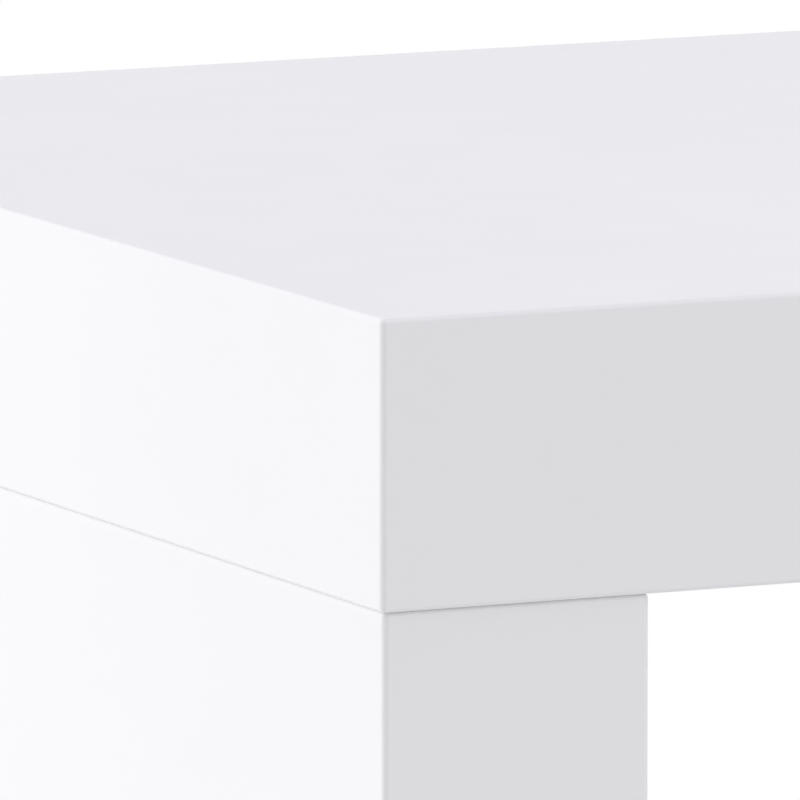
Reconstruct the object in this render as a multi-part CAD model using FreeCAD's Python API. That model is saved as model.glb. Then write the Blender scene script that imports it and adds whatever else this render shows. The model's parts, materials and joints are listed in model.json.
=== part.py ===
"""Bar table: a thick hollow top on two hollow end panels, all lacquered white. Millimetres.

+X runs along the table, +Y to its rear and +Z up. The origin is on the floor, under the middle of the top.
"""

import FreeCAD
import Part
import math
import os

from FreeCAD import Vector

# Overall size
table_length = 1200.0
table_depth = 400.0
table_height = 1050.0
top_thickness = 60.0
leg_thickness = 60.0

# Legs stand this far inside the top's ends and long sides
leg_setback = 0.8

# Boards of the hollow panels, mitred along every edge
board_thickness = 12.0

# Eased edges of the panels: the upright ones, and those round their lower and upper faces
upright_arris_radius = 1.4
rim_arris_radius = 1.0

# Core inside the hollow panels
rib_thickness = 12.0
rib_slot_clearance = 0.2
top_cross_rib_count = 5
leg_cross_rib_count = 3
rail_overhang = 12.0
head_block_height = 60.0
foot_block_height = 60.0

# Dowels between the top and the legs
dowel_edge_distance = 40.0
dowel_diameter = 10.0
dowel_length = 60.0
dowel_clearance = 0.1
dowel_end_gap = 1.0

# Bolts that are screwed into the top and hang down into the legs
bolt_thread_diameter = 6.0
bolt_thread_length = 24.0
bolt_thread_clearance = 0.05
bolt_tip_gap = 1.0
bolt_shank_diameter = 7.0
bolt_shank_clearance = 0.5
bolt_neck_diameter = 4.0
bolt_head_diameter = 6.4
bolt_head_reach = 2.5

# Cams in the legs that grip the bolts' heads and pull the legs up against the top
cam_edge_distance = 110.0
cam_setback = 34.0
cam_axis_depth = 18.0
cam_diameter = 15.0
cam_clearance = 0.05
cam_head_play = 0.1
cam_slot_clearance = 0.3
cam_end_wall = 1.7
cam_outer_wall = 1.5
cam_drive_span = 7.0
cam_drive_width = 1.3
cam_drive_gap = 1.0

# Caps over the cams
cap_diameter = 18.0
cap_thickness = 1.2
cap_chamfer = 0.8
cap_pin_length = 2.0
cap_pin_clearance = 0.1

# Levelling feet
foot_edge_distance = 40.0
foot_travel = 10.0
pad_diameter = 28.0
pad_neck_diameter = 21.0
pad_height = 6.0
pad_rim_height = 2.5
pad_socket_floor = 2.0
stem_diameter = 8.0
stem_reserve = 3.0
stem_clearance = 0.05
stem_end_gap = 2.0
hex_across_flats = 13.0
hex_height = 4.0
foot_sleeve_diameter = 12.0
foot_sleeve_length = 25.0
foot_sleeve_clearance = 0.05

# Places along X, Y and Z that follow from the sizes; those along X are at the right end
half_length = table_length / 2
half_depth = table_depth / 2
leg_half_depth = half_depth - leg_setback
leg_outer_x = half_length - leg_setback
leg_inner_x = leg_outer_x - leg_thickness
leg_centre_x = leg_outer_x - leg_thickness / 2
rail_inner_x = leg_inner_x - rail_overhang
bolt_x = leg_inner_x + cam_axis_depth
foot_reveal = pad_height + hex_height
stem_top = foot_reveal + foot_sleeve_length + foot_travel + stem_reserve
joint_height = table_height - top_thickness
cam_height = joint_height - cam_setback

# Chamber of a cam, round the bolt's head: a bore off the cam's centre
chamber_half_length = bolt_head_diameter / 2 + cam_head_play
chamber_top = chamber_half_length
chamber_bottom = cam_outer_wall - cam_diameter / 2
chamber_radius = (chamber_top - chamber_bottom) / 2
chamber_centre = (chamber_top + chamber_bottom) / 2
cam_length = cam_axis_depth + chamber_half_length + cam_end_wall

# Stretches of the cores, from low to high
rail_x = (rail_inner_x, half_length - board_thickness)
leg_core_x = (leg_inner_x + board_thickness, leg_outer_x - board_thickness)
top_core_y = (-half_depth + board_thickness, half_depth - board_thickness)
leg_core_y = (-leg_half_depth + board_thickness, leg_half_depth - board_thickness)
top_core_z = (joint_height + board_thickness, table_height - board_thickness)
leg_core_z = (foot_reveal + board_thickness, joint_height - board_thickness)
head_block_z = (leg_core_z[1] - head_block_height, leg_core_z[1])
foot_block_z = (leg_core_z[0], leg_core_z[0] + foot_block_height)

origin = Vector(0, 0, 0)
along = Vector(1, 0, 0)
up = Vector(0, 0, 1)
down = Vector(0, 0, -1)


def front_and_rear(edge_distance):
    """Depths (Y) of two things that lie this far from the top's front and rear faces."""
    return {"front": -half_depth + edge_distance, "rear": half_depth - edge_distance}


def equal_bays(low, high, count):
    """Places of count ribs that divide the stretch from low to high into equal bays."""
    bay = (high - low) / (count + 1)
    return [low + bay * (i + 1) for i in range(count)]


def box(x, y, z):
    """Box over three stretches, each a pair of a low and a high place."""
    return Part.makeBox(x[1] - x[0], y[1] - y[0], z[1] - z[0], Vector(x[0], y[0], z[0]))


def around(middle, half):
    """The stretch that reaches half to each side of middle."""
    return (middle - half, middle + half)


def upright_rod(radius, x, y, z):
    """Round rod or hole at x and y, over the stretch z."""
    return Part.makeCylinder(radius, z[1] - z[0], Vector(x, y, z[0]))


def revolved(edges, axis):
    """The solid that a closed outline of edges makes when it turns round an axis through the origin."""
    return Part.Face(Part.Wire(edges)).revolve(origin, axis, 360)


def lines(points):
    """Straight edges from each point to the next."""
    return [Part.makeLine(a, b) for a, b in zip(points, points[1:])]


def turned_profile(points):
    """The solid that an outline through (radius, height) points makes when it turns round Z."""
    corners = [Vector(radius, 0, height) for radius, height in points]
    return revolved(lines(corners + corners[:1]), up)


def at_left_end(shape):
    """A copy of a shape at the right end, turned half way round the table's middle."""
    copy = shape.copy()
    copy.rotate(origin, up, 180)
    return copy


def copies(shape, places):
    """Copies of a fitting at each place."""
    placed = []
    for place in places:
        copy = shape.copy()
        copy.translate(place)
        placed.append(copy)
    return placed


def drilled(shape, holes):
    for hole in holes:
        shape = shape.cut(hole)
    return shape.Solids[0]


# Hollow panels

def mitre_wedge(low, high, axis, at_high_end):
    """The pyramid stump that holds one board of a panel, with 45 degree sides through the panel's edges.

    axis is 0, 1 or 2 for a board across X, Y or Z. The stump starts a board's thickness outside the panel.
    """
    across, upward = [i for i in range(3) if i != axis]
    wires = []
    for inset in (-board_thickness, board_thickness):
        near = [place + inset for place in low]
        far = [place - inset for place in high]
        corners = []
        for first, second in ((near, near), (far, near), (far, far), (near, far)):
            corner = Vector(far if at_high_end else near)
            corner[across] = first[across]
            corner[upward] = second[upward]
            corners.append(corner)
        wires.append(Part.makePolygon(corners + corners[:1]))
    return Part.makeLoft(wires, True, True)


def eased_block(x, y, z):
    """Box over three stretches with eased edges."""
    block = box(x, y, z)
    uprights = [edge for edge in block.Edges if edge.Vertexes[0].Z != edge.Vertexes[1].Z]
    block = block.makeFillet(upright_arris_radius, uprights)
    rims = [edge for edge in block.Edges if edge.Vertexes[0].Z == edge.Vertexes[1].Z]
    return block.makeFillet(rim_arris_radius, rims)


def hollow_panel(x, y, z, names):
    """The six mitred boards of a hollow panel over three stretches, with eased edges, as {name: solid}.

    names gives the boards on the low and high side along X, then Y, then Z.
    """
    low, high = zip(x, y, z)
    block = eased_block(x, y, z)
    boards = {}
    for number, name in enumerate(names):
        axis, at_high_end = divmod(number, 2)
        boards[name] = block.common(mitre_wedge(low, high, axis, at_high_end)).Solids[0]
    return boards


def top_boards():
    sides = ["left_edge", "right_edge", "front_edge", "rear_edge", "lower_board", "upper_board"]
    names = [f"top_{side}" for side in sides]
    return hollow_panel(around(0, half_length), around(0, half_depth), (joint_height, table_height), names)


def leg_boards(side):
    faces = ["inner_board", "outer_board"]
    x = (leg_inner_x, leg_outer_x)
    if side == "left":
        faces.reverse()
        x = (-leg_outer_x, -leg_inner_x)
    names = [f"{side}_leg_{part}" for part in faces + ["front_edge", "rear_edge", "base_cap", "top_cap"]]
    return hollow_panel(x, around(0, leg_half_depth), (foot_reveal, joint_height), names)


# Ribs of the cores, lapped half way into each other where they cross

def top_ribs():
    """The top's long rib, slotted from below, and its cross ribs, slotted from above."""
    half_rib = rib_thickness / 2
    half_slot = half_rib + rib_slot_clearance / 2
    low, high = top_core_z
    middle = (low + high) / 2
    long_rib = box(around(0, rail_inner_x), around(0, half_rib), top_core_z)
    cross_ribs = []
    for x in equal_bays(-rail_inner_x, rail_inner_x, top_cross_rib_count):
        long_rib = long_rib.cut(box(around(x, half_slot), around(0, half_rib), (low, middle)))
        cross_rib = box(around(x, half_rib), top_core_y, top_core_z)
        cross_ribs.append(cross_rib.cut(box(around(x, half_rib), around(0, half_slot), (middle, high))))
    return long_rib, cross_ribs


def leg_ribs():
    """The right leg's upright rib, slotted from outside, and its cross ribs, slotted from inside."""
    half_rib = rib_thickness / 2
    half_slot = half_rib + rib_slot_clearance / 2
    inner, outer = leg_core_x
    middle = (inner + outer) / 2
    low, high = foot_block_z[1], head_block_z[0]
    upright_rib = box(leg_core_x, around(0, half_rib), (low, high))
    cross_ribs = []
    for z in equal_bays(low, high, leg_cross_rib_count):
        upright_rib = upright_rib.cut(box((middle, outer), around(0, half_rib), around(z, half_slot)))
        cross_rib = box(leg_core_x, leg_core_y, around(z, half_rib))
        cross_ribs.append(cross_rib.cut(box((inner, middle), around(0, half_slot), around(z, half_rib))))
    return upright_rib, cross_ribs


# Fittings: those of the joint are made with the joint at z = 0, and the feet with the floor at z = 0

def dowel():
    """Dowel, half above and half below the joint."""
    return upright_rod(dowel_diameter / 2, 0, 0, around(0, dowel_length / 2))


def chamber_wall(aside):
    """Height of the upper wall of a cam's chamber over the cam's centre, this far to the side of it."""
    return chamber_centre + math.sqrt(chamber_radius**2 - aside**2)


def cam_bolt():
    """Bolt whose shank stops at the joint, with its head in the cam below and under the chamber's wall."""
    thread = bolt_thread_diameter / 2
    shank = bolt_shank_diameter / 2
    neck = bolt_neck_diameter / 2
    head = bolt_head_diameter / 2
    shank_end = cam_diameter / 2 - cam_setback
    profile = [
        (0, bolt_thread_length),
        (thread, bolt_thread_length),
        (thread, 0),
        (shank, 0),
        (shank, shank_end),
        (neck, shank_end),
        (neck, chamber_wall(neck) - cam_head_play - cam_setback),
        (head, chamber_wall(head) - cam_head_play - cam_setback),
        (head, -bolt_head_reach - cam_setback),
        (0, -bolt_head_reach - cam_setback),
    ]
    return turned_profile(profile)


def drive_cross(length, clearance):
    """The cross of a cam's drive, from x = 0, smaller by a clearance all round its arms."""
    wide = around(0, cam_drive_span / 2 - clearance)
    narrow = around(0, cam_drive_width / 2 - clearance)
    return box((0, length), wide, narrow).fuse(box((0, length), narrow, wide))


def cam_lock():
    """Locked cam: its face at x = 0, its axis along +X, and the bolt coming down into it along Z.

    The chamber round the bolt's head is off centre, so its wall closes on the head as the cam turns. The
    entry hole now points down, and a slot for the bolt's neck leads from it half way round to the top.
    """
    entry = bolt_head_diameter / 2 + cam_slot_clearance
    slot = bolt_neck_diameter / 2 + cam_slot_clearance
    chamber_start = Vector(cam_axis_depth - chamber_half_length, 0, chamber_centre)
    slot_start = Vector(cam_axis_depth - slot, 0, 0)
    bolt_axis = Vector(cam_axis_depth, 0, 0)
    outside = cam_diameter
    slot_disc = Part.makeCylinder(outside, 2 * slot, slot_start, along)
    hollows = [
        Part.makeCylinder(chamber_radius, 2 * chamber_half_length, chamber_start, along),
        Part.makeCylinder(entry, outside, bolt_axis, down),
        Part.makeCylinder(slot, outside, bolt_axis, up),
        slot_disc.common(box((0, cam_length), (0, outside), around(0, outside))),
        drive_cross(cap_pin_length + cam_drive_gap, 0),
    ]
    return drilled(Part.makeCylinder(cam_diameter / 2 - cam_clearance, cam_length, origin, along), hollows)


def cam_cap():
    """Chamfered cap on the leg's inner face at x = 0, with a pin that plugs into the cam's drive."""
    radius = cap_diameter / 2
    profile = [
        Vector(0, 0, 0),
        Vector(0, radius, 0),
        Vector(cap_chamfer - cap_thickness, radius, 0),
        Vector(-cap_thickness, radius - cap_chamfer, 0),
        Vector(-cap_thickness, 0, 0),
    ]
    disc = revolved(lines(profile + profile[:1]), along)
    return disc.fuse(drive_cross(cap_pin_length, cap_pin_clearance)).removeSplitter()


def foot_sleeve():
    """Threaded sleeve, flush with the leg's underside."""
    sleeve_z = (foot_reveal, foot_reveal + foot_sleeve_length)
    bore = upright_rod(stem_diameter / 2 + stem_clearance, 0, 0, sleeve_z)
    return upright_rod(foot_sleeve_diameter / 2, 0, 0, sleeve_z).cut(bore).Solids[0]


def foot_pad():
    """Round pad on the floor, with a socket for the stem's lower end."""
    rim = pad_diameter / 2
    socket = stem_diameter / 2 + stem_clearance
    profile = [
        (0, 0),
        (rim, 0),
        (rim, pad_rim_height),
        (pad_neck_diameter / 2, pad_height),
        (socket, pad_height),
        (socket, pad_socket_floor),
        (0, pad_socket_floor),
    ]
    return turned_profile(profile)


def foot_stem():
    """Threaded stem that turns in the pad, with a spanner hexagon between the pad and the sleeve."""
    rod = upright_rod(stem_diameter / 2, 0, 0, (pad_socket_floor, stem_top))
    corner = Vector(hex_across_flats / math.sqrt(3), 0, pad_height)
    hexagon = Part.makePolygon([FreeCAD.Rotation(up, turn).multVec(corner) for turn in range(0, 361, 60)])
    collar = Part.Face(hexagon).extrude(Vector(0, 0, hex_height))
    return rod.fuse(collar).removeSplitter()


# Holes at the right end

def joint_holes():
    """Holes on both sides of the joint between top and leg, for the dowels and bolts, and the cams' bores."""
    dowel_hole = dowel_diameter / 2 + dowel_clearance
    dowel_z = around(joint_height, dowel_length / 2 + dowel_end_gap)
    thread_hole = bolt_thread_diameter / 2 + bolt_thread_clearance
    thread_z = (joint_height, joint_height + bolt_thread_length + bolt_tip_gap)
    shank_hole = bolt_shank_diameter / 2 + bolt_shank_clearance
    holes = []
    for y in front_and_rear(dowel_edge_distance).values():
        holes.append(upright_rod(dowel_hole, leg_centre_x, y, dowel_z))
    for y in front_and_rear(cam_edge_distance).values():
        holes.append(upright_rod(thread_hole, bolt_x, y, thread_z))
        holes.append(upright_rod(shank_hole, bolt_x, y, (cam_height, joint_height)))
        cam_face = Vector(leg_inner_x, y, cam_height)
        holes.append(Part.makeCylinder(cam_diameter / 2, cam_length, cam_face, along))
    return holes


def foot_holes():
    """Holes up into the leg's foot, for the sleeves and for the stems above them."""
    radius = foot_sleeve_diameter / 2 + foot_sleeve_clearance
    hole_z = (foot_reveal, stem_top + stem_end_gap)
    return [upright_rod(radius, leg_centre_x, y, hole_z) for y in front_and_rear(foot_edge_distance).values()]


# The table

def right_end_core():
    """Rail, blocks and ribs at the right end, as {name: solids}. {side} stands for left or right."""
    rail = box(rail_x, top_core_y, top_core_z)
    upright_rib, cross_ribs = leg_ribs()
    return {
        "top_{side}_rail": [drilled(rail, joint_holes())],
        "{side}_leg_head_block": [drilled(box(leg_core_x, leg_core_y, head_block_z), joint_holes())],
        "{side}_leg_foot_block": [drilled(box(leg_core_x, leg_core_y, foot_block_z), foot_holes())],
        "{side}_leg_upright_rib": [upright_rib],
        "{side}_leg_cross_ribs": cross_ribs,
    }


def right_end_fittings():
    """Fittings at the right end, named in the same way."""
    dowels = [Vector(leg_centre_x, y, joint_height) for y in front_and_rear(dowel_edge_distance).values()]
    bolts = [Vector(bolt_x, y, joint_height) for y in front_and_rear(cam_edge_distance).values()]
    cams = [Vector(leg_inner_x, y, cam_height) for y in front_and_rear(cam_edge_distance).values()]
    feet = [Vector(leg_centre_x, y, 0) for y in front_and_rear(foot_edge_distance).values()]
    return {
        "{side}_dowels": copies(dowel(), dowels),
        "{side}_cam_bolts": copies(cam_bolt(), bolts),
        "{side}_cam_locks": copies(cam_lock(), cams),
        "{side}_cam_caps": copies(cam_cap(), cams),
        "{side}_foot_sleeves": copies(foot_sleeve(), feet),
    }


def levelling_feet():
    """Pads and stems at the table's four corners."""
    feet = {}
    for side, x in (("left", -leg_centre_x), ("right", leg_centre_x)):
        for end, y in front_and_rear(foot_edge_distance).items():
            feet[f"{end}_{side}_pad"] = copies(foot_pad(), [Vector(x, y, 0)])
            feet[f"{end}_{side}_stem"] = copies(foot_stem(), [Vector(x, y, 0)])
    return feet


def table():
    """Every piece of the table, as {name: solids}."""
    boards = {**top_boards(), **leg_boards("left"), **leg_boards("right")}
    inner_pieces = {**right_end_core(), **right_end_fittings()}
    pieces = {}
    for side, placed in (("left", at_left_end), ("right", Part.Shape.copy)):
        across_joint = [placed(hole) for hole in joint_holes()]
        under_leg = [placed(hole) for hole in foot_holes()]
        for board in ("top_lower_board", f"{side}_leg_inner_board", f"{side}_leg_top_cap"):
            boards[board] = drilled(boards[board], across_joint)
        boards[f"{side}_leg_base_cap"] = drilled(boards[f"{side}_leg_base_cap"], under_leg)
        for name, solids in inner_pieces.items():
            pieces[name.format(side=side)] = [placed(solid) for solid in solids]
    long_rib, cross_ribs = top_ribs()
    pieces["top_long_rib"] = [long_rib]
    pieces["top_cross_ribs"] = cross_ribs
    for name, board in boards.items():
        pieces[name] = [board]
    return {**pieces, **levelling_feet()}


def main():
    os.makedirs("parts", exist_ok=True)
    for name, solids in table().items():
        shape = solids[0] if len(solids) == 1 else Part.makeCompound(solids)
        shape.exportStep(f"parts/{name}.step")


main()
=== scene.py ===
"""Looks of the bar table: lacquered hollow panels with eased edges, turned fittings and levelling feet.

Metres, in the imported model's frame: +X runs along the table, +Y to its rear and +Z up.
"""

import json
import math

import bmesh
import bpy
import numpy as np
from mathutils import Matrix, Vector


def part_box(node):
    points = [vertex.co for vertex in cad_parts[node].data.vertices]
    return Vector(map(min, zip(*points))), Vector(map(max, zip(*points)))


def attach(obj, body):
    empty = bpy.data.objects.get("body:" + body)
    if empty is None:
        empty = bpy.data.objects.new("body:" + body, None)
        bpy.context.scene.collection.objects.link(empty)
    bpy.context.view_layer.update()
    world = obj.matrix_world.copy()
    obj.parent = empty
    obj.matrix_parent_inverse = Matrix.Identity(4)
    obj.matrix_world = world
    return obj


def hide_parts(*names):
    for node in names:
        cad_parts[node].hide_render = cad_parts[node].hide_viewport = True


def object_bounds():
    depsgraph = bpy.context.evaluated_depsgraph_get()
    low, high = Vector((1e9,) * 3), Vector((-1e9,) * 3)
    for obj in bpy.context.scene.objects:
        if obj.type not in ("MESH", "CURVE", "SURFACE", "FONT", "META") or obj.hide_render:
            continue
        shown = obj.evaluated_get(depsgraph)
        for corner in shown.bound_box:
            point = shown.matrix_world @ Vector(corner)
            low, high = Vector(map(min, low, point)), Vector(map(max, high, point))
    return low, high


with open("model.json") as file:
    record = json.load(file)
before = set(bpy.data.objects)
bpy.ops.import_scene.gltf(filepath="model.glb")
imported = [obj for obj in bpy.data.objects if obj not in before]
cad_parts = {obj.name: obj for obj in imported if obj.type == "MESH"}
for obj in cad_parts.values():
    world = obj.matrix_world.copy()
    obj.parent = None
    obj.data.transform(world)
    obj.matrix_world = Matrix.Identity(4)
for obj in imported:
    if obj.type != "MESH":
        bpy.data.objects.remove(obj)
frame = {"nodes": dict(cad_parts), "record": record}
cad_box = [list(corner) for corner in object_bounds()]

mm = 0.001
slot_of = {piece["node"]: piece["material_slot"] for piece in frame["record"]["subparts"]}
body_of = {node: body for body, nodes in frame["record"]["behaviour"]["bodies"].items() for node in nodes}

# Panels
board_thickness = 12 * mm
upright_arris_radius = 1.4 * mm
rim_arris_radius = 1 * mm
arris_steps = 5

# Holes through the boards
dowel_hole_radius = 5.1 * mm
thread_hole_radius = 3.05 * mm
shank_hole_radius = 4 * mm
cam_hole_radius = 7.5 * mm
foot_hole_radius = 6.05 * mm
hole_segments = 40

# Turned fittings
dowel_radius = 5 * mm
shank_radius = 3.5 * mm
cap_radius = 9 * mm
pad_radius = 14 * mm
pad_height = 6 * mm
socket_floor = 2 * mm
turned_segments = 48
ease_steps = 4
sharp = 0
smooth_angle = math.radians(32)

# Threads and flutes
foot_pitch = 1.25 * mm
foot_thread_depth = 0.65 * mm
bolt_pitch = 2.4 * mm
bolt_thread_depth = 0.8 * mm
sleeve_pitch = 3 * mm
sleeve_thread_depth = 0.9 * mm
thread_rows_per_turn = 8
dowel_flutes = 16
dowel_flute_depth = 0.45 * mm
uncut = 0.0
full_cut = 1.0


# Places at the right end of the table, those of fittings at its rear; the other corners are alike

def rear_place(node, radius):
    """Middle of a node's rear fitting, round and of this radius, to a tenth of a millimetre."""
    low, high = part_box(node)
    place = ((low.x + high.x) / 2, high.y - radius, (low.z + high.z) / 2)
    return Vector([round(number, 4) for number in place])


joint_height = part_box("top_lower_board")[0].z
leg_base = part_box("right_leg_base_cap")[0].z
dowel_place = rear_place("right_dowels", dowel_radius)
bolt_place = rear_place("right_cam_bolts", shank_radius)
foot_place = rear_place("rear_right_pad", pad_radius)
cap_place = rear_place("right_cam_caps", cap_radius)
# Caps lie on the legs' inner faces
cap_place.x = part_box("right_leg_inner_board")[0].x


# Nodes

class Nodes:
    """A node tree, and the nodes that are added to it."""

    def __init__(self, tree):
        self.tree = tree

    def node(self, kind, links=None, **settings):
        """Outputs of a new node with its settings; links give its inputs a socket or a value."""
        made = self.tree.nodes.new(kind)
        for setting, value in settings.items():
            setattr(made, setting, value)
        for socket, source in (links or {}).items():
            if isinstance(source, bpy.types.NodeSocket):
                self.tree.links.new(source, made.inputs[socket])
            else:
                made.inputs[socket].default_value = source
        return made.outputs

    def math(self, operation, first, second=0.0):
        return self.node("ShaderNodeMath", {0: first, 1: second}, operation=operation)[0]


# Materials

class Finish(Nodes):
    """A material made of nodes, whose patterns lie in the piece's own coordinates."""

    # Most of a noise lies between these
    noise_low = 0.3
    noise_high = 0.7

    def __init__(self, name, **shader_values):
        self.material = bpy.data.materials.new(name)
        self.material.use_nodes = True
        super().__init__(self.material.node_tree)
        self.shader = self.tree.nodes["Principled BSDF"]
        self.coordinates = self.node("ShaderNodeTexCoord")["Object"]
        for socket, value in shader_values.items():
            self.shader.inputs[socket.replace("_", " ")].default_value = value

    def noise(self, per_metre, detail=2.0, roughness=0.5, distortion=0.0, stretch=(1, 1, 1)):
        """Noise with so many waves to the metre, drawn out along an axis where stretch is under 1."""
        place = self.node("ShaderNodeMapping", {"Vector": self.coordinates, "Scale": stretch})["Vector"]
        values = {"Scale": per_metre, "Detail": detail, "Roughness": roughness, "Distortion": distortion}
        return self.node("ShaderNodeTexNoise", {"Vector": place, **values})["Fac"]

    def spread(self, factor, low, high, start=noise_low, end=noise_high):
        """A factor's stretch from start to end, mapped to a stretch from low to high."""
        values = {"Value": factor, "From Min": start, "From Max": end, "To Min": low, "To Max": high}
        return self.node("ShaderNodeMapRange", values)["Result"]

    def colours(self, factor, stops):
        """Colours blended along a factor; stops are (place, colour) pairs."""
        blended = self.node("ShaderNodeValToRGB", {"Fac": factor})["Color"]
        elements = blended.node.color_ramp.elements
        for place, _ in stops[len(elements):]:
            elements.new(place)
        for element, (place, colour) in zip(elements, stops):
            element.position = place
            element.color = (*colour, 1)
        return blended

    def blend(self, noise, dark, light):
        """Two colours blended along a noise."""
        return self.colours(noise, [(self.noise_low, dark), (self.noise_high, light)])

    def relief(self, *heights):
        """Bumps laid over each other; heights are (factor, depth in metres) pairs."""
        normal = None
        for factor, depth in heights:
            links = {"Height": factor, "Distance": depth, "Strength": 1.0}
            if normal:
                links["Normal"] = normal
            normal = self.node("ShaderNodeBump", links)["Normal"]
        self.set("Normal", normal)

    def set(self, socket, source):
        self.tree.links.new(source, self.shader.inputs[socket])


def white_lacquer():
    """Sprayed satin lacquer: faint flow of the colour, uneven sheen and a fine orange peel."""
    made = Finish("white_lacquer", IOR=1.5)
    flow = made.noise(per_metre=5, detail=3)
    sheen = made.noise(per_metre=38, detail=4)
    peel = made.noise(per_metre=420, detail=1)
    waves = made.noise(per_metre=60, detail=1)
    made.set("Base Color", made.blend(flow, dark=(0.824, 0.82, 0.839), light=(0.84, 0.836, 0.856)))
    made.set("Roughness", made.spread(sheen, low=0.42, high=0.5))
    made.relief((peel, 0.004 * mm), (waves, 0.01 * mm))
    return made.material


def raw_mdf():
    """Bare fibreboard: pressed fibres and darker flecks."""
    made = Finish("raw_mdf", Roughness=0.88, IOR=1.45)
    fibres = made.noise(per_metre=900, detail=5, roughness=0.7, distortion=1.5)
    stops = [
        (0.32, (0.26, 0.165, 0.092)),
        (0.5, (0.4, 0.275, 0.165)),
        (0.7, (0.5, 0.365, 0.23)),
    ]
    made.set("Base Color", made.colours(fibres, stops))
    made.relief((fibres, 0.12 * mm))
    return made.material


def planed_wood(name, light, dark, waves_per_metre, stretch, pore_depth):
    """Planed timber: growth rings drawn out along the grain, and pores."""
    rings_per_wave = 9.0
    ring_start, late_wood, ring_end = 0.0, 0.75, 0.97
    made = Finish(name, IOR=1.45)
    wave = made.noise(waves_per_metre, detail=2, distortion=0.6, stretch=stretch)
    ring = made.math("FRACT", made.math("MULTIPLY", wave, rings_per_wave))
    pores = made.noise(per_metre=1400, detail=3, stretch=stretch)
    stops = [(ring_start, light), (late_wood, dark), (ring_end, light)]
    made.set("Base Color", made.colours(ring, stops))
    made.set("Roughness", made.spread(pores, low=0.55, high=0.75))
    made.relief((pores, pore_depth))
    return made.material


def pine():
    """Softwood with its grain along the table's depth."""
    return planed_wood("pine", light=(0.62, 0.42, 0.21), dark=(0.47, 0.27, 0.11), waves_per_metre=14,
                       stretch=(1, 0.12, 1), pore_depth=0.05 * mm)


def beech():
    """Fine hardwood with upright grain."""
    return planed_wood("beech", light=(0.52, 0.32, 0.175), dark=(0.43, 0.245, 0.12), waves_per_metre=60,
                       stretch=(1, 1, 0.1), pore_depth=0.03 * mm)


def cast_zinc():
    """Die-cast zinc: dull, with a grainy skin."""
    made = Finish("zinc", Metallic=1.0)
    skin = made.noise(per_metre=700, detail=4)
    sheen = made.noise(per_metre=160, detail=3)
    made.set("Base Color", made.blend(skin, dark=(0.36, 0.37, 0.39), light=(0.47, 0.48, 0.5)))
    made.set("Roughness", made.spread(sheen, low=0.38, high=0.55))
    made.relief((skin, 0.03 * mm))
    return made.material


def plated_steel():
    """Zinc-plated steel: bright, with cloudy patches of the plating and fine turning marks."""
    made = Finish("steel", Metallic=1.0)
    clouds = made.noise(per_metre=220, detail=3)
    marks = made.noise(per_metre=2500, detail=2, stretch=(0.1, 0.1, 1))
    made.set("Base Color", made.blend(clouds, dark=(0.5, 0.52, 0.56), light=(0.63, 0.64, 0.66)))
    made.set("Roughness", made.spread(clouds, low=0.22, high=0.36))
    made.relief((marks, 0.006 * mm))
    return made.material


def moulded_plastic(name, dark, light, smoothest, roughest):
    """Moulded plastic with a spark-eroded skin and a faint flow of its colour."""
    made = Finish(name, IOR=1.48)
    flow = made.noise(per_metre=120, detail=3)
    skin = made.noise(per_metre=2600, detail=2)
    made.set("Base Color", made.blend(flow, dark, light))
    made.set("Roughness", made.spread(skin, smoothest, roughest))
    made.relief((skin, 0.012 * mm))
    return made.material


def cap_plastic():
    return moulded_plastic("cap_plastic", dark=(0.76, 0.76, 0.77), light=(0.79, 0.79, 0.8),
                           smoothest=0.37, roughest=0.47)


def pad_plastic():
    return moulded_plastic("pad_plastic", dark=(0.28, 0.28, 0.29), light=(0.32, 0.32, 0.33),
                           smoothest=0.45, roughest=0.55)


materials = {
    "white_lacquer": white_lacquer(),
    "raw_mdf": raw_mdf(),
    "pine": pine(),
    "beech": beech(),
    "zinc": cast_zinc(),
    "steel": plated_steel(),
    "cap_plastic": cap_plastic(),
    "pad_plastic": pad_plastic(),
}


# Geometry Nodes

class Modeller(Nodes):
    """A Geometry Nodes tree with named inputs, put on a piece as a modifier."""

    def __init__(self, name, inputs):
        super().__init__(bpy.data.node_groups.new(name, "GeometryNodeTree"))
        interface = self.tree.interface
        interface.new_socket("Geometry", in_out="INPUT", socket_type="NodeSocketGeometry")
        interface.new_socket("Geometry", in_out="OUTPUT", socket_type="NodeSocketGeometry")
        self.sockets = {}
        for label, kind in inputs.items():
            socket = interface.new_socket(label, in_out="INPUT", socket_type=f"NodeSocket{kind}")
            self.sockets[label] = socket.identifier
        self.given = self.node("NodeGroupInput")

    def finish(self, geometry):
        """Ends the tree: what is instanced becomes real, and gets the material."""
        real = self.node("GeometryNodeRealizeInstances", {"Geometry": geometry})["Geometry"]
        links = {"Geometry": real, "Material": self.given["Material"]}
        painted = self.node("GeometryNodeSetMaterial", links)["Geometry"]
        self.node("NodeGroupOutput", {"Geometry": painted})

    def put_on(self, piece, **values):
        modifier = piece.modifiers.new(self.tree.name, "NODES")
        modifier.node_group = self.tree
        for label, value in values.items():
            modifier[self.sockets[label]] = value


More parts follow.
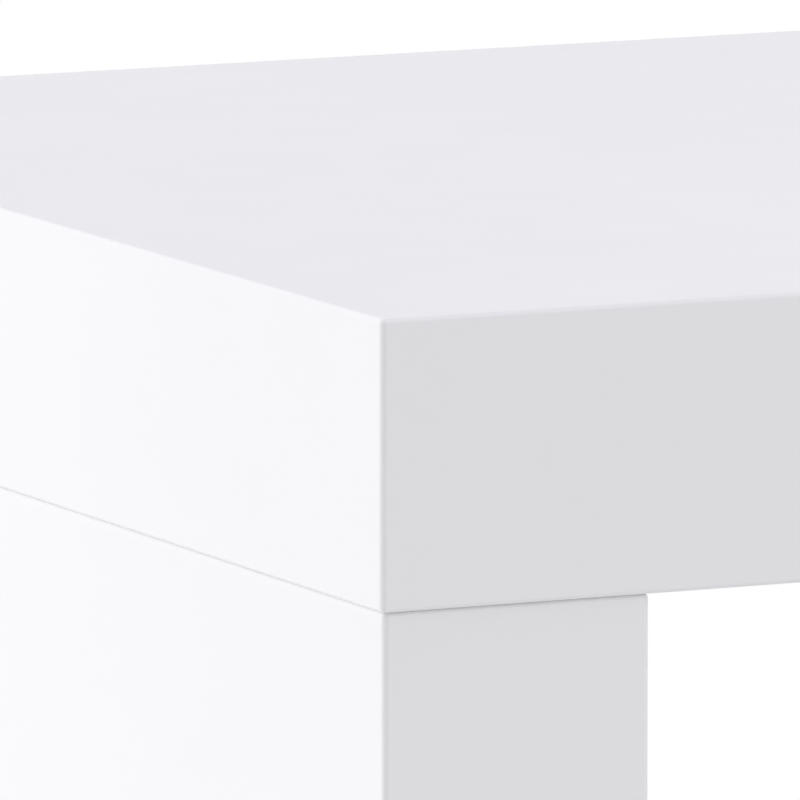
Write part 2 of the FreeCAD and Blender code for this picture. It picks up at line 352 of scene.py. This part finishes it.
def radial_cut(modeller, depth):
    """Moves points towards the Z axis by a depth, as far as the piece's own cut attribute lets it."""
    place = modeller.node("GeometryNodeInputPosition")["Position"]
    axes = modeller.node("ShaderNodeSeparateXYZ", {"Vector": place})
    level = modeller.node("ShaderNodeCombineXYZ", {"X": axes["X"], "Y": axes["Y"]})["Vector"]
    outward = modeller.node("ShaderNodeVectorMath", {0: level}, operation="NORMALIZE")["Vector"]
    named = modeller.node("GeometryNodeInputNamedAttribute", {"Name": "cut"}, data_type="FLOAT")
    inward = modeller.math("MULTIPLY", modeller.math("MULTIPLY", depth, named["Attribute"]), -1.0)
    move = modeller.node("ShaderNodeVectorMath", {0: outward, "Scale": inward}, operation="SCALE")
    links = {"Geometry": modeller.given["Geometry"], "Offset": move["Vector"]}
    return modeller.node("GeometryNodeSetPosition", links)["Geometry"]


def turn_and_height(modeller):
    """Turns round the Z axis, from -0.5 to 0.5, and height of each point."""
    place = modeller.node("GeometryNodeInputPosition")["Position"]
    axes = modeller.node("ShaderNodeSeparateXYZ", {"Vector": place})
    angle = modeller.math("ARCTAN2", axes["Y"], axes["X"])
    return modeller.math("DIVIDE", angle, math.tau), axes["Z"]


def thread_modeller():
    """Cuts a right-hand V thread into a turned blank."""
    half_turn = 0.5
    made = Modeller("thread", {"Pitch": "Float", "Depth": "Float", "Material": "Material"})
    turn, height = turn_and_height(made)
    phase = made.math("SUBTRACT", made.math("DIVIDE", height, made.given["Pitch"]), turn)
    share = made.math("DIVIDE", made.math("PINGPONG", phase, half_turn), half_turn)
    made.finish(radial_cut(made, made.math("MULTIPLY", share, made.given["Depth"])))
    return made


def flute_modeller():
    """Cuts round-bottomed flutes along a turned blank."""
    made = Modeller("flutes", {"Count": "Float", "Depth": "Float", "Material": "Material"})
    turn, _ = turn_and_height(made)
    angle = made.math("MULTIPLY", made.math("MULTIPLY", turn, math.tau), made.given["Count"])
    share = made.math("MAXIMUM", made.math("COSINE", angle), 0.0)
    made.finish(radial_cut(made, made.math("MULTIPLY", share, made.given["Depth"])))
    return made


def row_modeller():
    """Sets copies of a fitting in a row along the table's depth, turned to face their end of the table."""
    made = Modeller("row_of_fittings", {
        "Count": "Int",
        "First": "Vector",
        "Spacing": "Float",
        "Turn": "Float",
        "Material": "Material",
    })
    step = made.node("ShaderNodeCombineXYZ", {"Y": made.given["Spacing"]})["Vector"]
    row = {"Count": made.given["Count"], "Start Location": made.given["First"], "Offset": step}
    points = made.node("GeometryNodeMeshLine", row)["Mesh"]
    euler = made.node("ShaderNodeCombineXYZ", {"Z": made.given["Turn"]})["Vector"]
    facing = made.node("FunctionNodeEulerToRotation", {"Euler": euler})["Rotation"]
    whole = {"Geometry": made.given["Geometry"]}
    fitting = made.node("GeometryNodeGeometryToInstance", whole)["Instances"]
    placed = {"Points": points, "Instance": fitting, "Rotation": facing}
    made.finish(made.node("GeometryNodeInstanceOnPoints", placed)["Instances"])
    return made


thread_cutter = thread_modeller()
flute_cutter = flute_modeller()
fitting_row = row_modeller()


# Meshes

def new_object(name, data):
    made = bpy.data.objects.new(name, data)
    bpy.context.scene.collection.objects.link(made)
    return made


def new_mesh(name, vertices, faces):
    mesh = bpy.data.meshes.new(name)
    mesh.from_pydata([tuple(vertex) for vertex in vertices], [], [tuple(face) for face in faces])
    return mesh


def ring_points(radius, height, segments):
    """Points round the Z axis; the radius is one number, or one for each point."""
    angles = math.tau * np.arange(segments) / segments
    return np.stack((radius * np.cos(angles), radius * np.sin(angles), np.full(segments, height)), axis=1)


def skin_faces(rows, segments, first=0, ring=False):
    """Faces round stacked rows of points, which are numbered from first.

    A ring joins its last row to its first. Others are closed by a face at each end.
    """
    faces = []
    for row in range(rows if ring else rows - 1):
        lower = first + row * segments
        upper = first + (row + 1) % rows * segments
        for k in range(segments):
            after = (k + 1) % segments
            faces.append([lower + k, lower + after, upper + after, upper + k])
    if not ring:
        last = first + (rows - 1) * segments
        faces.append([first + k for k in reversed(range(segments))])
        faces.append([last + k for k in range(segments)])
    return faces


def settle(piece):
    """Turns a piece with modifiers into a plain mesh."""
    bpy.context.view_layer.update()
    evaluated = piece.evaluated_get(bpy.context.evaluated_depsgraph_get())
    mesh = bpy.data.meshes.new_from_object(evaluated)
    piece.modifiers.clear()
    piece.data = mesh
    return mesh


def combine(piece, tool_mesh, operation):
    """Cuts a tool's shape from a piece or adds it, as a solid."""
    tool = new_object("tool", tool_mesh)
    modifier = piece.modifiers.new("combine", "BOOLEAN")
    modifier.object = tool
    modifier.operation = operation
    modifier.solver = "EXACT"
    settle(piece)
    bpy.data.objects.remove(tool)


def hand_over(piece, node):
    """The piece stands for a CAD node, whose solid is hidden, and rides with its body."""
    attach(piece, body_of[node])
    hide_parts(node)


# Boards, lacquered outside and bare on their mitres, inside and in their holes

lacquered = 0
bare = 1


def add_board_materials(mesh):
    """Lacquer and bare fibreboard, as they are numbered above."""
    mesh.materials.append(materials["white_lacquer"])
    mesh.materials.append(materials["raw_mdf"])


def eased_places(low, high, radius):
    """Places of the grid lines across a board: an arris, the flat, and the other arris."""
    angles = np.linspace(math.pi / 4, 0, arris_steps + 1)
    arris = radius * (1 - np.tan(angles))
    return np.concatenate((low + arris, high - arris[::-1]))


def eased_surface(points, low, high):
    """Points moved onto a panel's surface with its eased edges, and the surface's normals there."""
    plan, height = points[..., :2], points[..., 2:]
    plan_core = np.clip(plan, low[:2] + upright_arris_radius, high[:2] - upright_arris_radius)
    outward = plan - plan_core
    reach = np.linalg.norm(outward, axis=-1, keepdims=True)
    rim_inset = upright_arris_radius - rim_arris_radius
    core_plan = plan_core + outward * rim_inset / np.maximum(reach, rim_inset)
    core_height = np.clip(height, low[2] + rim_arris_radius, high[2] - rim_arris_radius)
    core = np.concatenate((core_plan, core_height), axis=-1)
    normals = points - core
    normals /= np.linalg.norm(normals, axis=-1, keepdims=True)
    return core + rim_arris_radius * normals, normals


def outer_face(low, high, axis, at_high_end):
    """Grid of points on one eased face of a panel."""
    across, upward = [i for i in range(3) if i != axis]
    radii = (upright_arris_radius, upright_arris_radius, rim_arris_radius)
    columns = eased_places(low[across], high[across], radii[across])
    rows = eased_places(low[upward], high[upward], radii[upward])
    points = np.empty((len(columns), len(rows), 3))
    points[..., axis] = high[axis] if at_high_end else low[axis]
    points[..., across] = columns[:, None]
    points[..., upward] = rows[None, :]
    surface, _ = eased_surface(points, low, high)
    return surface


def inner_corners(low, high, axis, at_high_end):
    """Corners of a board's inner face, where its mitres end."""
    across, upward = [i for i in range(3) if i != axis]
    near, far = low + board_thickness, high - board_thickness
    corners = []
    for first, second in ((near, near), (far, near), (far, far), (near, far)):
        corner = (far if at_high_end else near).copy()
        corner[across] = first[across]
        corner[upward] = second[upward]
        corners.append(corner)
    return corners


def board_mesh(name, low, high, axis, at_high_end):
    """One mitred board of a hollow panel: its eased outer face, four mitres and its bare inner face."""
    surface = outer_face(low, high, axis, at_high_end)
    columns, rows, _ = surface.shape
    index = np.arange(columns * rows).reshape(columns, rows)
    faces = []
    for i in range(columns - 1):
        for j in range(rows - 1):
            faces.append([index[i, j], index[i + 1, j], index[i + 1, j + 1], index[i, j + 1]])
    outer_count = len(faces)
    inner = inner_corners(low, high, axis, at_high_end)
    inner_index = [columns * rows + k for k in range(len(inner))]
    sides = [index[:, 0], index[-1, :], index[::-1, -1], index[0, ::-1]]
    for k, side in enumerate(sides):
        faces.append([*side, inner_index[(k + 1) % len(sides)], inner_index[k]])
    faces.append(inner_index)
    mesh = new_mesh(name, [*surface.reshape(-1, 3), *inner], faces)
    add_board_materials(mesh)
    for face in mesh.polygons[outer_count:]:
        face.material_index = bare
    outward = bmesh.new()
    outward.from_mesh(mesh)
    bmesh.ops.recalc_face_normals(outward, faces=outward.faces)
    outward.to_mesh(mesh)
    outward.free()
    return mesh


def shade_board(mesh, low, high):
    """Gives the lacquered face the true normals of its flat and arrises: boards meet without a line."""
    mesh.polygons.foreach_set("use_smooth", [True] * len(mesh.polygons))
    normals = np.empty((len(mesh.loops), 3))
    for face in mesh.polygons:
        loops = list(face.loop_indices)
        normals[loops] = face.normal
        if face.material_index == lacquered:
            places = np.array([mesh.vertices[vertex].co for vertex in face.vertices])
            _, normals[loops] = eased_surface(places, low, high)
    mesh.normals_split_custom_set([tuple(normal) for normal in normals])


def drills(holes):
    """Rods that cut holes; each hole is (start, end, radius)."""
    vertices, faces = [], []
    for start, end, radius in holes:
        turn = (end - start).normalized().to_track_quat("Z", "Y")
        faces += skin_faces(2, hole_segments, first=len(vertices))
        for place in (start, end):
            vertices += [place + turn @ Vector(point) for point in ring_points(radius, 0, hole_segments)]
    mesh = new_mesh("drills", vertices, faces)
    add_board_materials(mesh)
    mesh.polygons.foreach_set("material_index", [bare] * len(mesh.polygons))
    return mesh


def end_holes(sign):
    """Holes at one end of the table for the dowels, bolts, cams and feet, each through one board only."""
    reach = board_thickness + rim_arris_radius
    upward = Vector((0, 0, reach))
    outward = Vector((sign * reach, 0, 0))
    dowel_hole = (dowel_place, dowel_hole_radius)
    upright = {
        "lower_board": (joint_height, [dowel_hole, (bolt_place, thread_hole_radius)]),
        "top_cap": (joint_height, [dowel_hole, (bolt_place, shank_hole_radius)]),
        "base_cap": (leg_base, [(foot_place, foot_hole_radius)]),
    }
    holes = {"inner_board": []}
    for board, (height, kinds) in upright.items():
        holes[board] = []
        for place, radius in kinds:
            for y in (-place.y, place.y):
                middle = Vector((sign * place.x, y, height))
                holes[board].append((middle - upward, middle + upward, radius))
    for y in (-cap_place.y, cap_place.y):
        middle = Vector((sign * cap_place.x, y, cap_place.z))
        holes["inner_board"].append((middle - outward, middle + outward, cam_hole_radius))
    return holes


def panel(prefix, board_names, holes):
    """The six boards of a hollow panel, each a piece of its own.

    Names go low and high along X, then Y, then Z.
    """
    boxes = np.array([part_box(f"{prefix}_{name}") for name in board_names])
    low, high = boxes[:, 0].min(axis=0), boxes[:, 1].max(axis=0)
    for number, name in enumerate(board_names):
        axis, at_high_end = divmod(number, 2)
        node = f"{prefix}_{name}"
        piece = new_object(f"lacquered_{node}", board_mesh(node, low, high, axis, at_high_end))
        if name in holes:
            combine(piece, drills(holes[name]), "DIFFERENCE")
        shade_board(piece.data, low, high)
        hand_over(piece, node)


# Turned fittings

def eased_profile(points):
    """A profile of (radius, height, ease) points, its corners rounded by their ease."""
    corners = [Vector((radius, height)) for radius, height, _ in points]
    profile = []
    for k, (radius, height, ease) in enumerate(points):
        if ease == sharp:
            profile.append((radius, height))
            continue
        corner = corners[k]
        before = (corners[k - 1] - corner).normalized()
        after = (corners[(k + 1) % len(corners)] - corner).normalized()
        half = before.angle(after) / 2
        centre = corner + (before + after).normalized() * ease / math.sin(half)
        start = corner + before * ease / math.tan(half) - centre
        end = corner + after * ease / math.tan(half) - centre
        sweep = math.atan2(start.x * end.y - start.y * end.x, start.dot(end))
        for step in range(ease_steps + 1):
            profile.append(tuple(centre + Matrix.Rotation(sweep * step / ease_steps, 2) @ start))
    return profile


def turned_mesh(name, rows, ring=False):
    """A closed mesh of rows round the Z axis, from the lower middle outwards and up.

    Rows are (radius, height, cut). The cut is the share of a thread's or flute's depth that is cut there.
    """
    vertices, cuts = [], []
    for radius, height, cut in rows:
        vertices += list(ring_points(radius, height, turned_segments))
        cuts += [cut] * turned_segments
    mesh = new_mesh(name, vertices, skin_faces(len(rows), turned_segments, ring=ring))
    mesh.attributes.new("cut", "FLOAT", "POINT").data.foreach_set("value", cuts)
    return mesh


def plain_rows(profile):
    return [(radius, height, uncut) for radius, height in profile]


def threaded_rows(radius, start, end, pitch):
    """Rows close enough for a thread, which starts and ends softly."""
    count = round((end - start) / pitch * thread_rows_per_turn)
    rows = []
    for height in np.linspace(start, end, count + 1):
        cut = min(full_cut, (height - start) / pitch, (end - height) / pitch)
        rows.append((radius, height, cut))
    return rows


def dowel_mesh():
    """Dowel with bevelled ends; its flutes run out at the bevels."""
    low, high = (corner.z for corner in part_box("right_dowels"))
    tip_radius = 4 * mm
    bevel = 1 * mm
    bevel_cut = 0.35
    rows = [
        (tip_radius, low, uncut),
        (dowel_radius, low + bevel, bevel_cut),
        (dowel_radius, low + 2 * bevel, full_cut),
        (dowel_radius, high - 2 * bevel, full_cut),
        (dowel_radius, high - bevel, bevel_cut),
        (tip_radius, high, uncut),
    ]
    return turned_mesh("dowel", rows)


def bolt_mesh():
    """Bolt with a head that is coned towards its neck, a shank and a wood-screw thread."""
    low, tip = (corner.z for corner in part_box("right_cam_bolts"))
    head_radius, head_face_radius = 3.2 * mm, 2.2 * mm
    neck_radius = 2 * mm
    thread_radius, tip_radius = 3 * mm, 0.8 * mm
    cone_start, neck_start, neck_end = low + 4.4 * mm, low + 5.25 * mm, low + 10 * mm
    taper = 2.5 * mm
    head_ease, neck_ease, shank_ease, shoulder_ease = 0.6 * mm, 0.3 * mm, 0.4 * mm, 0.2 * mm
    shoulder_slope = 0.01 * mm
    profile = eased_profile([
        (head_face_radius, low, sharp),
        (head_radius, low, head_ease),
        (head_radius, cone_start, neck_ease),
        (neck_radius, neck_start, neck_ease),
        (neck_radius, neck_end, neck_ease),
        (shank_radius, neck_end, shank_ease),
        (shank_radius, joint_height, shoulder_ease),
        (thread_radius, joint_height - shoulder_slope, sharp),
    ])
    rows = plain_rows(profile) + threaded_rows(thread_radius, joint_height, tip - taper, bolt_pitch)
    return turned_mesh("bolt", rows + [(tip_radius, tip, uncut)])


def cross_outline(reach, half_width):
    """Corners of an upright cross, anticlockwise."""
    arm = [(reach, -half_width), (reach, half_width), (half_width, half_width)]
    outline = []
    for _ in range(4):
        outline += arm
        arm = [(-y, x) for x, y in arm]
    return outline


def cap_mesh():
    """Cap with a rounded rim and a shallow dish, on a cross-shaped pin.

    It is made face down, then laid over: the pin points to +X and the rim's back lies at x = 0.
    """
    thickness = 1.2 * mm
    middle_radius, slope_radius, brim_radius = 4 * mm, 6.6 * mm, 7.2 * mm
    dish_depth, slope_depth = 0.25 * mm, 0.12 * mm
    slope_ease, brim_ease, rim_ease, back_ease = 0.6 * mm, 0.4 * mm, 0.85 * mm, 0.1 * mm
    pin_reach, pin_half_width = 3.4 * mm, 0.55 * mm
    pin_root, pin_length = 0.4 * mm, 2 * mm
    profile = eased_profile([
        (middle_radius, dish_depth, sharp),
        (slope_radius, slope_depth, slope_ease),
        (brim_radius, 0, brim_ease),
        (cap_radius, 0, rim_ease),
        (cap_radius, thickness, back_ease),
        (middle_radius, thickness, sharp),
    ])
    piece = new_object("cap", turned_mesh("cap", plain_rows(profile)))
    outline = cross_outline(pin_reach, pin_half_width)
    pin_heights = (thickness - pin_root, thickness + pin_length)
    pin_points = [(x, y, height) for height in pin_heights for x, y in outline]
    combine(piece, new_mesh("cap_pin", pin_points, skin_faces(2, len(outline))), "UNION")
    mesh = piece.data
    # The union leaves an empty material slot
    mesh.materials.clear()
    bpy.data.objects.remove(piece)
    mesh.transform(Matrix.Translation((-thickness, 0, 0)) @ Matrix.Rotation(math.pi / 2, 4, "Y"))
    return mesh


def sleeve_mesh():
    """Screwed-in sleeve with a coarse outer thread and a bevelled bore."""
    low, high = (corner.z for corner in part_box("right_foot_sleeves"))
    bore, outside, bevel = 4.05 * mm, 6 * mm, 0.6 * mm
    rows = [(bore + bevel, low, uncut), (outside - bevel, low, uncut)]
    rows += threaded_rows(outside, low + bevel, high - 2 * bevel, sleeve_pitch)
    rows += [
        (outside - bevel, high, uncut),
        (bore + bevel, high, uncut),
        (bore, high - bevel, uncut),
        (bore, low + bevel, uncut),
    ]
    return turned_mesh("sleeve", rows, ring=True)


def pad_mesh():
    """Round pad with rings in its underside, a sloping shoulder and a socket for the stem."""
    neck_radius, rim_height = 10.5 * mm, 2.5 * mm
    socket_radius, socket_bevel = 4.05 * mm, 0.5 * mm
    middle_radius = 5 * mm
    grooves, first_groove, groove_spacing = 3, 6.2 * mm, 2.4 * mm
    groove_width, groove_slope, groove_depth = 1.2 * mm, 0.2 * mm, 0.5 * mm
    groove_ease, foot_ease, shoulder_ease = 0.1 * mm, 0.7 * mm, 0.6 * mm
    points = [(middle_radius, 0, sharp)]
    for k in range(grooves):
        start = first_groove + k * groove_spacing
        end = start + groove_width
        points += [
            (start, 0, groove_ease),
            (start + groove_slope, groove_depth, groove_ease),
            (end - groove_slope, groove_depth, groove_ease),
            (end, 0, groove_ease),
        ]
    points += [
        (pad_radius, 0, foot_ease),
        (pad_radius, rim_height, shoulder_ease),
        (neck_radius, pad_height, shoulder_ease),
        (socket_radius + socket_bevel, pad_height, sharp),
        (socket_radius, pad_height - socket_bevel, sharp),
        (socket_radius, socket_floor, sharp),
    ]
    return turned_mesh("pad", plain_rows(eased_profile(points)))


def stem_mesh():
    """Stem with a plain end in the pad, a spanner hexagon with bevelled corners, and a thread."""
    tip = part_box("front_right_stem")[1].z
    radius, bevel, tip_radius = 4 * mm, 0.6 * mm, 3.16 * mm
    half_flats, bevelled_radius, corner_bevel = 6.5 * mm, 6.695 * mm, 0.5 * mm
    hexagon_height = 4 * mm
    hexagon_top = pad_height + hexagon_height
    one_flat = math.tau / 6
    angles = math.tau * np.arange(turned_segments) / turned_segments
    hexagon = half_flats / np.cos(angles % one_flat - one_flat / 2)
    bevelled = np.minimum(hexagon, bevelled_radius)
    rows = [
        (radius - bevel, socket_floor, uncut),
        (radius, socket_floor + bevel, uncut),
        (radius, pad_height, uncut),
        (bevelled, pad_height, uncut),
        (hexagon, pad_height + corner_bevel, uncut),
        (hexagon, hexagon_top - corner_bevel, uncut),
        (bevelled, hexagon_top, uncut),
    ]
    rows += threaded_rows(radius, hexagon_top, tip - bevel, foot_pitch)
    return turned_mesh("stem", rows + [(tip_radius, tip, uncut)])


def fit(node, mesh, first, count=1, spacing=0.0, turn=0.0, cutters=()):
    """Copies of a fitting's mesh as one piece, in a row from the first place to the rear.

    Threads or flutes are cut first; cutters are (modeller, values) pairs.
    """
    piece = new_object(f"turned_{node}", mesh.copy())
    material = materials[slot_of[node]]
    piece.data.materials.append(material)
    for cutter, values in cutters:
        cutter.put_on(piece, Material=material, **values)
    fitting_row.put_on(piece, Count=count, First=first, Spacing=spacing, Turn=turn, Material=material)
    made = settle(piece)
    made.polygons.foreach_set("use_smooth", [True] * len(made.polygons))
    made.set_sharp_from_angle(angle=smooth_angle)
    hand_over(piece, node)


def fit_pair(node, mesh, sign, place, height=0, cutters=()):
    """Two of a fitting at one end of the table, as far to the front as to the rear."""
    first = (sign * place.x, -place.y, height)
    turn = 0.0 if sign > 0 else math.pi
    fit(node, mesh, first, count=2, spacing=2 * place.y, turn=turn, cutters=cutters)


# The table

left_holes = end_holes(-1)
right_holes = end_holes(1)
leg_edges = ["front_edge", "rear_edge", "base_cap", "top_cap"]
panel("top", ["left_edge", "right_edge", "front_edge", "rear_edge", "lower_board", "upper_board"],
      {"lower_board": left_holes["lower_board"] + right_holes["lower_board"]})
panel("left_leg", ["outer_board", "inner_board", *leg_edges], left_holes)
panel("right_leg", ["inner_board", "outer_board", *leg_edges], right_holes)

dowel = dowel_mesh()
bolt = bolt_mesh()
cap = cap_mesh()
sleeve = sleeve_mesh()
pad = pad_mesh()
stem = stem_mesh()
dowel_cut = (flute_cutter, {"Count": float(dowel_flutes), "Depth": dowel_flute_depth})
bolt_cut = (thread_cutter, {"Pitch": bolt_pitch, "Depth": bolt_thread_depth})
sleeve_cut = (thread_cutter, {"Pitch": sleeve_pitch, "Depth": sleeve_thread_depth})
stem_cut = (thread_cutter, {"Pitch": foot_pitch, "Depth": foot_thread_depth})
for side, sign in (("left", -1), ("right", 1)):
    fit_pair(f"{side}_dowels", dowel, sign, dowel_place, cutters=[dowel_cut])
    fit_pair(f"{side}_cam_bolts", bolt, sign, bolt_place, cutters=[bolt_cut])
    fit_pair(f"{side}_cam_caps", cap, sign, cap_place, height=cap_place.z)
    fit_pair(f"{side}_foot_sleeves", sleeve, sign, foot_place, cutters=[sleeve_cut])
    for end, y in (("front", -foot_place.y), ("rear", foot_place.y)):
        fit(f"{end}_{side}_pad", pad, (sign * foot_place.x, y, 0))
        fit(f"{end}_{side}_stem", stem, (sign * foot_place.x, y, 0), cutters=[stem_cut])

for node, solid in frame["nodes"].items():
    if not solid.hide_render:
        solid.data.materials.clear()
        solid.data.materials.append(materials[slot_of[node]])


# Floor, light and camera

def pale_floor():
    """A pale floor that fades out into the white round it, and is clear from below."""
    radius, segments = 3.2, 96
    fade_start, fade_end = 1.0, 3.1
    floor = new_object("floor", new_mesh("floor", ring_points(radius, 0, segments), [range(segments)]))
    made = Finish("pale_floor", Roughness=0.9, Base_Color=(0.86, 0.86, 0.865, 1))
    distance = made.node("ShaderNodeVectorMath", {0: made.coordinates}, operation="LENGTH")["Value"]
    fade = made.spread(distance, low=0.0, high=1.0, start=fade_start, end=fade_end)
    below = made.node("ShaderNodeNewGeometry")["Backfacing"]
    see_through = made.node("ShaderNodeBsdfTransparent")["BSDF"]
    links = {"Fac": made.math("MAXIMUM", fade, below), 1: made.shader.outputs["BSDF"], 2: see_through}
    mixed = made.node("ShaderNodeMixShader", links)["Shader"]
    made.tree.links.new(mixed, made.tree.nodes["Material Output"].inputs["Surface"])
    floor.data.materials.append(made.material)


def white_surround(strength):
    """A world that is white where it is seen or mirrored, and gives soft light of its own strength."""
    world = bpy.data.worlds.new("surround")
    bpy.context.scene.world = world
    world.use_nodes = True
    world.node_tree.nodes.clear()
    made = Nodes(world.node_tree)
    path = made.node("ShaderNodeLightPath")
    seen = made.math("MAXIMUM", path["Is Camera Ray"], path["Is Glossy Ray"])
    seen = made.math("MAXIMUM", seen, path["Is Transmission Ray"])
    light = made.node("ShaderNodeBackground", {"Color": (0.985, 0.985, 1.0, 1), "Strength": strength})
    white = made.node("ShaderNodeBackground", {"Color": (1, 1, 1, 1), "Strength": 1.0})
    links = {"Fac": seen, 1: light["Background"], 2: white["Background"]}
    mixed = made.node("ShaderNodeMixShader", links)["Shader"]
    made.node("ShaderNodeOutputWorld", {"Surface": mixed})


def soft_lamp(name, direction, distance, size, level, colour=(1, 1, 1)):
    """A square lamp that isn't seen itself, nor mirrored in gloss.

    It lights a surface that faces it, at its aim, to a level, where 1 shows the surface's own colour.
    """
    aim = Vector((0, 0, 0.8))
    lamp = bpy.data.lights.new(name, "AREA")
    lamp.shape = "SQUARE"
    lamp.size = size
    lamp.energy = level * (math.pi * distance) ** 2
    lamp.color = colour
    made = new_object(name, lamp)
    made.location = aim + Vector(direction).normalized() * distance
    made.rotation_euler = (aim - made.location).to_track_quat("-Z", "Y").to_euler()
    made.visible_camera = False
    made.visible_glossy = False


def photo_camera():
    """The photograph's viewpoint, by its place from the near corner of the top."""
    azimuth, elevation = math.radians(25.308), math.radians(8.187)
    corner = Vector((cad_box[0][0], cad_box[0][1], cad_box[1][2]))
    top_thickness = cad_box[1][2] - joint_height
    away = 53.656 * top_thickness
    aside = -0.0616 * top_thickness
    above = 0.2697 * top_thickness
    focal_pixels, picture_pixels, sensor = 15988, 800, 36
    level = math.cos(elevation)
    forward = Vector((math.sin(azimuth) * level, math.cos(azimuth) * level, -math.sin(elevation)))
    right = Vector((math.cos(azimuth), -math.sin(azimuth), 0))
    up = right.cross(forward)
    data = bpy.data.cameras.new("camera")
    data.sensor_width = sensor
    data.lens = focal_pixels * sensor / picture_pixels
    data.clip_end = 100
    camera = new_object("camera", data)
    place = corner - away * forward - aside * right - above * up
    camera.matrix_world = Matrix.Translation(place) @ Matrix((right, up, -forward)).transposed().to_4x4()
    bpy.context.scene.camera = camera


pale_floor()
white_surround(strength=0.45)
soft_lamp("left_lamp", direction=(-0.8, 0.5, 0.135), distance=6.5, size=4.3, level=0.765)
soft_lamp("right_lamp", direction=(0.95, 0.2, 0.1), distance=6.5, size=4.3, level=0.22)
soft_lamp("front_lamp", direction=(0.0, -1.0, -0.12), distance=4.5, size=3.0, level=0.27,
          colour=(1.0, 0.99, 0.95))
soft_lamp("high_lamp", direction=(0.1, -0.28, 0.93), distance=4.0, size=3.0, level=0.455,
          colour=(0.93, 0.91, 1.0))
photo_camera()
bpy.context.scene.view_settings.view_transform = "Standard"
